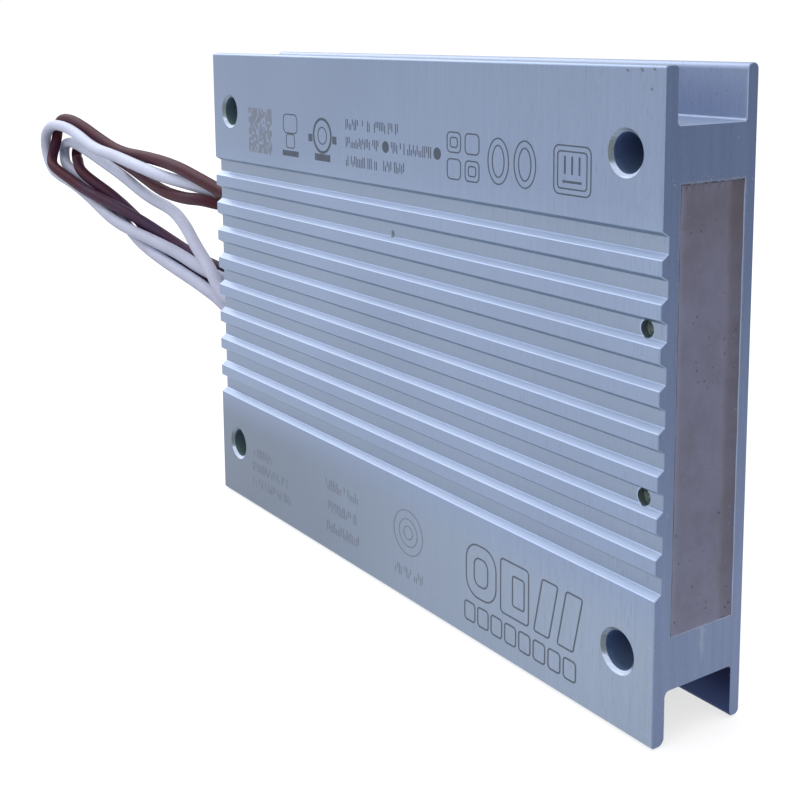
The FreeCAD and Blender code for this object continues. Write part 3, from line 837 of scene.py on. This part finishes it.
def resin_skin(name, side, node):
    """Closed skin over the outer face of an end seal; side is 1 at the right end, -1 at the left.

    height = level + slow waves + rise * exp(-distance to the nearest wall / reach)
    - trough * exp(-(distance from the trough's line / width) squared)
    + ragged rise * short waves, fading within a millimetre below the upper wall.
    """
    low, high = [np.array(corner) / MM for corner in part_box(node)]
    face_x = high[0] if side > 0 else low[0]
    y = np.linspace(low[1], high[1], round((high[1] - low[1]) / SKIN_STEP))
    z = np.linspace(low[2], high[2], round((high[2] - low[2]) / SKIN_STEP))
    y, z = np.meshgrid(y, z, indexing="ij")
    wall = np.minimum(np.minimum(y - low[1], high[1] - y), np.minimum(z - low[2], high[2] - z))
    slow = SWELL_HEIGHT * np.sin(0.9 * y + 1.3) * np.cos(0.31 * z + 0.4)
    slow += RIPPLE_HEIGHT * np.sin(0.83 * z + 0.5 * y)
    trough = TROUGH_DEPTH * np.exp(-(((high[1] - TROUGH_PLACE - y) / TROUGH_WIDTH) ** 2))
    short = np.sin(2.9 * y) * np.sin(1.7 * y + 0.6) + 0.4 * np.sin(7.1 * y)
    ragged = RAGGED_RISE * short * np.exp(-(high[2] - z) / RAGGED_REACH)
    height = SKIN_LEVEL + slow + MENISCUS_RISE * np.exp(-wall / MENISCUS_REACH) - trough + ragged
    height = np.clip(height, LEAST_HEIGHT, MOST_HEIGHT)
    front = np.stack([face_x + side * height, y, z], axis=-1).reshape(-1, 3)
    back = np.stack([np.full_like(y, face_x - side * SKIN_DEPTH), y, z], axis=-1).reshape(-1, 3)
    index = np.arange(y.size).reshape(y.shape)
    rim = np.concatenate([index[:-1, 0], index[-1, :-1], index[:0:-1, -1], index[0, :0:-1]])
    ahead = np.roll(rim, -1)
    sheet = grid_faces(*y.shape)
    band = np.stack([rim, rim + y.size, ahead + y.size, ahead], axis=-1)
    faces = np.concatenate([sheet, (sheet + y.size)[:, ::-1], band])
    faces = faces[:, ::-1] if side > 0 else faces
    points = np.concatenate([front, back])
    add_piece(name, points, faces.tolist(), finishes["potting_resin"])
    print(name, "points", len(points), "height", height.min().round(2), "to", height.max().round(2))


resin_skin("resin_face_right", 1, "end_potting_right")
resin_skin("resin_face_left", -1, "end_potting_left")

# %% [markdown]
# Where a lead leaves the left seal, the resin creeps a little way up its sheath. That collar is
# a ring: its closed section is turned about the lead.

# %% Resin collars
COLLAR_RISE = 0.45
COLLAR_LENGTH = 1.1
COLLAR_SUNK = 0.2
COLLAR_TURNS = 48
COLLAR_STEPS = 14
LEAD_RADIUS = LEAD_DIAMETER / MM / 2


def resin_collar(name, centre):
    """Ring around a lead at the face of the left seal.

    radius = lead radius + rise * (1 - share of the length) squared; the section closes along
    the sheath, just under its surface.
    """
    share = np.linspace(0.0, 1.0, COLLAR_STEPS)
    outer = LEAD_RADIUS + 0.01 + COLLAR_RISE * (1 - share) ** 2
    inner = np.full_like(share, LEAD_RADIUS - 0.08)
    radius = np.concatenate([outer, inner])
    along = share * (COLLAR_LENGTH + COLLAR_SUNK) - COLLAR_SUNK
    along = np.concatenate([along, along[::-1]])
    angle = np.linspace(0, 2 * math.pi, COLLAR_TURNS, endpoint=False)[:, None]
    points = np.stack(
        [
            centre[0] - np.broadcast_to(along, (COLLAR_TURNS, along.size)),
            centre[1] + radius * np.cos(angle),
            centre[2] + radius * np.sin(angle),
        ],
        axis=-1,
    )
    faces = grid_faces(COLLAR_TURNS, along.size, True, True).tolist()
    add_piece(name, points.reshape(-1, 3), faces, finishes["potting_resin"])


for colour, route in (("brown", BROWN_POINTS), ("white", WHITE_POINTS)):
    resin_collar("resin_collar_" + colour, EXIT_LEVEL / MM + np.array(route[0]))
print("collars", COLLAR_LENGTH, "mm long, widest", round(2 * (LEAD_RADIUS + COLLAR_RISE), 2), "mm")

# %% [markdown]
# Two vent holes open in the groove floors near the right end. Resin has risen into them and
# set with a dished face: a disc whose height grows with the square of its radius.

# %% Vent plugs
VENT_BOTTOM_Y = -4.65
PLUG_HEIGHT = 0.25
PLUG_RISE = 0.75
PLUG_FOOT = 0.05
PLUG_FIT = 0.96
PLUG_RINGS = 8
PLUG_STEPS = 36


def vent_plug(name, level):
    """Dished plug: height = base + rise * (radius / bore radius) squared, with a flat back."""
    share = 1.0 - np.arange(PLUG_RINGS) / PLUG_RINGS
    share[0] = PLUG_FIT
    angle = np.linspace(0, 2 * math.pi, PLUG_STEPS, endpoint=False)
    share, angle = np.meshgrid(share, angle, indexing="ij")
    height = PLUG_HEIGHT + PLUG_RISE * share ** 2
    x = VENT_X + VENT_RADIUS * share * np.cos(angle)
    z = level + VENT_RADIUS * share * np.sin(angle)
    dish = np.stack([x, VENT_BOTTOM_Y - height, z], axis=-1).reshape(-1, 3)
    foot = dish[:PLUG_STEPS] * (1, 0, 1) + (0, VENT_BOTTOM_Y + PLUG_FOOT, 0)
    poles = [[VENT_X, VENT_BOTTOM_Y - PLUG_HEIGHT, level], [VENT_X, VENT_BOTTOM_Y + PLUG_FOOT, level]]
    points = np.concatenate([foot, dish, poles])
    first = np.arange(PLUG_STEPS)
    last = first + PLUG_RINGS * PLUG_STEPS
    pole = np.full(PLUG_STEPS, len(points))
    faces = grid_faces(PLUG_RINGS + 1, PLUG_STEPS, False, True).tolist()
    faces += np.stack([np.roll(last, -1), last, pole - 2], axis=-1).tolist()
    faces += np.stack([first, np.roll(first, -1), pole - 1], axis=-1).tolist()
    add_piece(name, points, faces, vent_resin)


for number, level in enumerate(VENT_LEVELS, 1):
    vent_plug("vent_plug_" + str(number), level)
print("vent plugs", len(VENT_LEVELS), "at heights", VENT_LEVELS)

# %% [markdown]
# The front carries etched marks along both bands: outlines, rings, bars and fields of small
# squares. An image would be the usual way, but a mark made of its own thin mesh stays sharp at
# any distance. An outline is a strip, a flat section carried along a closed path. All bars and
# squares of a field are small boxes, computed together.

# %% Strip and box helpers
MARK_PROUD = 0.015
MARK_SUNK = 0.02
LINE_WIDTH = 0.19


def strip(path, width=LINE_WIDTH):
    """Points and faces of a closed strip with its path in the front plane.

    Each path point moves half a width along its own miter, to the left and to the right, so
    that the edges stay parallel to the path: miter = mean normal / cosine of the half turn.
    """
    path = np.asarray(path, float)
    ahead = np.roll(path, -1, axis=0) - path
    ahead /= np.linalg.norm(ahead, axis=1)[:, None]
    before = np.roll(ahead, 1, axis=0)
    normal = np.stack([-ahead[:, 1], ahead[:, 0]], axis=1)
    mean = normal + np.stack([-before[:, 1], before[:, 0]], axis=1)
    mean /= np.linalg.norm(mean, axis=1)[:, None]
    miter = mean / (mean * normal).sum(axis=1)[:, None] * width / 2
    sides = np.stack([path - miter, path + miter, path + miter, path - miter], axis=1)
    depth = np.array([-MARK_PROUD, -MARK_PROUD, MARK_SUNK, MARK_SUNK]) + body_low[1]
    depth = np.broadcast_to(depth, sides.shape[:2])
    points = np.stack([sides[..., 0], depth, sides[..., 1]], axis=-1).reshape(-1, 3)
    faces = grid_faces(len(path), 4, True, True)[:, ::-1]
    return points, faces


def boxes(centres, sizes):
    """Points and faces of many flat boxes, from their middles and their widths and heights."""
    centres = np.asarray(centres, float).reshape(-1, 2)
    sizes = np.broadcast_to(np.asarray(sizes, float), centres.shape)
    corner = np.array([[-1, -1], [1, -1], [1, 1], [-1, 1]]) / 2
    plane = centres[:, None, :] + corner[None] * sizes[:, None, :]
    count = len(centres)
    depth = np.full((count, 4), body_low[1] - MARK_PROUD)
    front = np.stack([plane[..., 0], depth, plane[..., 1]], axis=-1)
    back = front + (0, MARK_PROUD + MARK_SUNK, 0)
    points = np.concatenate([front, back], axis=1).reshape(-1, 3)
    box_faces = [(0, 1, 2, 3), (7, 6, 5, 4), (0, 4, 5, 1), (1, 5, 6, 2), (2, 6, 7, 3), (3, 7, 4, 0)]
    faces = np.array(box_faces)[None] + 8 * np.arange(count)[:, None, None]
    return points, faces.reshape(-1, 4)


def ellipse(x, z, width, height, steps=72):
    """Closed path: x + half width * cosine, z + half height * sine."""
    angle = np.linspace(0, 2 * math.pi, steps, endpoint=False)
    return np.stack([x + width / 2 * np.cos(angle), z + height / 2 * np.sin(angle)], axis=1)


def soft_box(x, z, width, height, radius=0.6, slant=0.0, steps=8):
    """Closed path of a rectangle with rounded corners, leaning by slant of its height."""
    angle = np.linspace(0, math.pi / 2, steps)
    quarter = np.arange(4)[:, None] * math.pi / 2
    middle_x = (np.array([1, -1, -1, 1]) * (width / 2 - radius))[:, None]
    middle_z = (np.array([1, 1, -1, -1]) * (height / 2 - radius))[:, None]
    local_x = middle_x + radius * np.cos(angle + quarter)
    local_z = middle_z + radius * np.sin(angle + quarter)
    return np.stack([x + local_x + slant * local_z, z + local_z], axis=-1).reshape(-1, 2)


def add_mark(name, shapes, material):
    """One object from the points and faces of several strips and boxes."""
    starts = np.cumsum([0] + [len(points) for points, faces in shapes])
    points = np.concatenate([shape[0] for shape in shapes])
    faces = np.concatenate([shape[1] + start for shape, start in zip(shapes, starts)])
    add_piece(name, points, faces.tolist(), material, smooth=False)
    print(name, "faces", len(faces))


print("a ring has", len(strip(ellipse(0, 0, 1, 1))[1]), "faces")

# %% [markdown]
# A field of squares and rows of ticks look alive only if they are uneven, so which places are
# filled is drawn by chance, from a generator with a fixed start: every run gives the same marks.

# %% Fields and rows
SQUARE_SHARE = 0.98
TICK_HEIGHTS = (0.55, 0.8, 1.0)
TICKS_KEPT = 0.86
draws = np.random.default_rng(11)


def speckled_field(x_range, z_range, pitch, share):
    """Boxes on a random share of the places of a square raster."""
    x = np.arange(x_range[0] + pitch / 2, x_range[1], pitch)
    z = np.arange(z_range[0] + pitch / 2, z_range[1], pitch)
    x, z = np.meshgrid(x, z, indexing="ij")
    kept = draws.random(x.shape) < share
    side = pitch * SQUARE_SHARE
    return boxes(np.stack([x[kept], z[kept]], axis=1), (side, side))


def tick_rows(x_ranges, levels, height, pitch, width):
    """Rows of short upright ticks with random gaps, some of them at the row's foot or head."""
    centres = []
    sizes = []
    for (start, end), level in zip(x_ranges, levels):
        x = np.arange(start, end, pitch)
        kept = draws.random(x.size) < TICKS_KEPT
        tall = height * draws.choice(TICK_HEIGHTS, x.size)
        lift = (height - tall) / 2 * draws.choice([-1, 1], x.size)
        centres.append(np.stack([x, level + lift], axis=1)[kept])
        sizes.append(np.stack([np.full_like(x, width), tall], axis=1)[kept])
    return boxes(np.concatenate(centres), np.concatenate(sizes))


print("tick heights in a row:", TICK_HEIGHTS)

# %% [markdown]
# The upper band has seven marks in one line, from a field of squares at the left to a framed
# plate beside the right hole. All are burnt deep, but for the field.

# %% Marks on the upper band
add_mark("mark_field", [speckled_field((-42.0, -34.0), (63.5, 71.1), 0.5, 0.62)], etch_light)
add_mark(
    "mark_stand",
    [
        strip(soft_box(-27.8, 69.0, 4.4, 3.0, 0.9)),
        strip(soft_box(-27.8, 66.2, 2.6, 2.2, 0.5)),
        boxes([(-27.8, 64.2)], (5.2, 0.9)),
    ],
    etch_deep,
)
add_mark(
    "mark_target",
    [
        strip(ellipse(-17.8, 67.7, 5.2, 5.2), 0.42),
        strip(ellipse(-17.8, 67.7, 2.6, 2.6)),
        boxes([(-21.4, 67.2), (-14.2, 67.2)], (1.2, 1.2)),
        boxes([(-17.8, 64.3)], (4.6, 1.1)),
    ],
    etch_deep,
)
add_mark(
    "mark_rows",
    [
        tick_rows(((-10.8, -4.0), (-3.0, 3.0)), (69.9, 69.9), 1.6, 0.46, 0.17),
        tick_rows(((-10.8, -1.6), (1.4, 11.2)), (67.2, 67.2), 1.6, 0.46, 0.17),
        tick_rows(((-10.8, -2.4), (-0.6, 4.6)), (64.4, 64.4), 1.6, 0.46, 0.17),
        strip(ellipse(-0.1, 67.2, 0.9, 0.9, 24), 0.8),
        strip(ellipse(12.6, 67.2, 0.9, 0.9, 24), 0.8),
    ],
    etch_deep,
)
add_mark(
    "mark_quarters",
    [
        strip(soft_box(16.4, 69.0, 3.0, 2.7, 0.7)),
        strip(soft_box(20.4, 69.0, 3.0, 2.7, 0.7)),
        strip(soft_box(16.4, 65.4, 3.0, 2.7, 0.7)),
        strip(soft_box(20.4, 65.4, 3.0, 2.7, 0.7)),
        strip(soft_box(16.4, 69.0, 1.6, 1.3, 0.4)),
        strip(soft_box(20.4, 65.4, 1.6, 1.3, 0.4)),
    ],
    etch_deep,
)
add_mark(
    "mark_ovals",
    [
        strip(ellipse(25.9, 67.2, 4.2, 5.9)),
        strip(ellipse(25.9, 67.2, 2.4, 4.1)),
        strip(ellipse(31.2, 67.2, 4.2, 5.9)),
        strip(ellipse(31.2, 67.2, 2.4, 4.1)),
    ],
    etch_deep,
)
add_mark(
    "mark_plate",
    [
        strip(soft_box(40.0, 67.2, 6.6, 5.9, 0.9)),
        strip(soft_box(40.0, 67.2, 5.2, 4.5, 0.5)),
        boxes([(38.7, 67.8), (40.0, 67.8), (41.3, 67.8)], (0.3, 2.2)),
        boxes([(40.0, 65.8)], (3.4, 0.3)),
    ],
    etch_deep,
)

# %% [markdown]
# The lower band has fainter ones: two groups of short rows, three rings with a row under them,
# and a group of large outlines over a line of small ones.

# %% Marks on the lower band
BIG_LINE = 0.24
SMALL_ONES = 8
SMALL_PITCH = 2.95
add_mark(
    "mark_faint_rows_left",
    [tick_rows(((-43.6, -36.0), (-43.6, -31.0), (-43.6, -30.0)), (10.0, 7.4, 4.6), 1.6, 0.55, 0.22)],
    etch_light,
)
add_mark(
    "mark_faint_rows_middle",
    [tick_rows(((-18.4, -9.0), (-17.8, -9.0), (-18.8, -8.6)), (11.4, 7.8, 4.4), 1.7, 0.55, 0.22)],
    etch_light,
)
add_mark(
    "mark_rings",
    [
        strip(ellipse(4.9, 10.5, 7.4, 6.8)),
        strip(ellipse(4.9, 10.5, 4.6, 4.2)),
        strip(ellipse(4.9, 10.5, 2.2, 2.0)),
        tick_rows(((1.0, 9.0),), (4.2,), 1.6, 0.5, 0.18),
    ],
    etch_light,
)
add_mark(
    "mark_large",
    [
        strip(soft_box(22.4, 10.4, 6.6, 7.6, 2.6), BIG_LINE),
        strip(soft_box(22.4, 10.4, 3.0, 4.0, 1.2), BIG_LINE),
        strip(soft_box(29.6, 10.4, 5.8, 7.6, 0.6), BIG_LINE),
        strip(soft_box(30.4, 10.4, 2.4, 4.2, 0.4), BIG_LINE),
        strip(soft_box(35.9, 10.4, 3.0, 7.6, 0.4, 0.22), BIG_LINE),
        strip(soft_box(40.5, 10.4, 3.0, 7.6, 0.4, 0.22), BIG_LINE),
    ]
    + [
        strip(soft_box(19.9 + SMALL_PITCH * step, 4.0, 2.3, 2.7, 0.5), BIG_LINE)
        for step in range(SMALL_ONES)
    ],
    etch_middle,
)

# %% [markdown]
# The background is white because the world and the floor show as white to the camera and in
# reflections, while what they shed on the part stays at a plain level.

# %% World
WORLD_LEVEL = 0.80


def seen_directly(finish):
    """1 for rays that show the background: from the camera, in reflections and through glass."""
    camera_ray, glossy_ray, transmission_ray = [
        finish.add("ShaderNodeLightPath", {}, {}, kind)
        for kind in ("Is Camera Ray", "Is Glossy Ray", "Is Transmission Ray")
    ]
    return camera_ray.at_least(glossy_ray).at_least(transmission_ray)


def make_world():
    world = bpy.data.worlds.new("studio")
    world.use_nodes = True
    finish = Finish(world.node_tree)
    background = world.node_tree.nodes["Background"]
    background.inputs["Color"].default_value = (1.0, 1.0, 1.0, 1.0)
    strength = WORLD_LEVEL + seen_directly(finish) * (1.0 - WORLD_LEVEL)
    finish.feed(background.inputs["Strength"], strength)
    bpy.context.scene.world = world


make_world()
print("world level", WORLD_LEVEL)

# %% [markdown]
# The floor is a wide pale sheet just under the part. It glows only for the rays that show the
# background, and keeps part of its own shading, so the part's shadow stays on it.

# %% Floor
FLOOR_SIDE = 12.0
FLOOR_DROP = 0.2
FLOOR_GREY = (0.36, 0.36, 0.37, 1.0)
FLOOR_GLOW = 0.70


def floor_values(finish):
    glow = seen_directly(finish) * FLOOR_GLOW
    return {
        "Base Color": FLOOR_GREY,
        "Roughness": 0.9,
        "Specular IOR Level": 0.1,
        "Emission Color": finish.shade((1.0, 1.0, 1.0), glow),
        "Emission Strength": 1.0,
    }


def make_floor():
    half = FLOOR_SIDE / 2
    mesh = bpy.data.meshes.new("floor")
    corners = [(-half, -half), (half, -half), (half, half), (-half, half)]
    mesh.from_pydata([(x, y, -FLOOR_DROP * MM) for x, y in corners], [], [(0, 1, 2, 3)])
    mesh.materials.append(surface("pale_floor", floor_values))
    floor = bpy.data.objects.new("floor", mesh)
    bpy.context.scene.collection.objects.link(floor)


make_floor()
print("floor", FLOOR_SIDE, "m wide")

# %% [markdown]
# Three broad lamps give plain soft light. The one high on the left is what the upward slopes of
# the grooves mirror to the camera, a weaker one in front lifts the leads, and one overhead
# lights the upper channel. All point at the middle of the housing.

# %% Lamps
LAMP_TARGET = (0, 0, 0.04)


def make_lamp(name, place, side, power):
    """Square area lamp, placed in metres, with its power in watts, turned to the housing."""
    data = bpy.data.lights.new(name, "AREA")
    data.size = side
    data.energy = power
    lamp = bpy.data.objects.new(name, data)
    lamp.location = place
    lamp.rotation_mode = "QUATERNION"
    lamp.rotation_quaternion = (Vector(LAMP_TARGET) - Vector(place)).to_track_quat("-Z", "Y")
    bpy.context.scene.collection.objects.link(lamp)


make_lamp("high_left", (-0.85, -0.10, 0.72), 0.75, 4.5)
make_lamp("front_soft", (0.10, -0.90, 0.55), 0.7, 3.0)
make_lamp("overhead", (0.10, 0.05, 1.10), 0.9, 3.0)
bpy.context.scene.view_settings.view_transform = "Standard"
print("lamps", len(bpy.data.lights))

# %% [markdown]
# Last, the view layer is brought up to date, so that every piece stands where it was placed.

# %% Update the scene
bpy.context.view_layer.update()
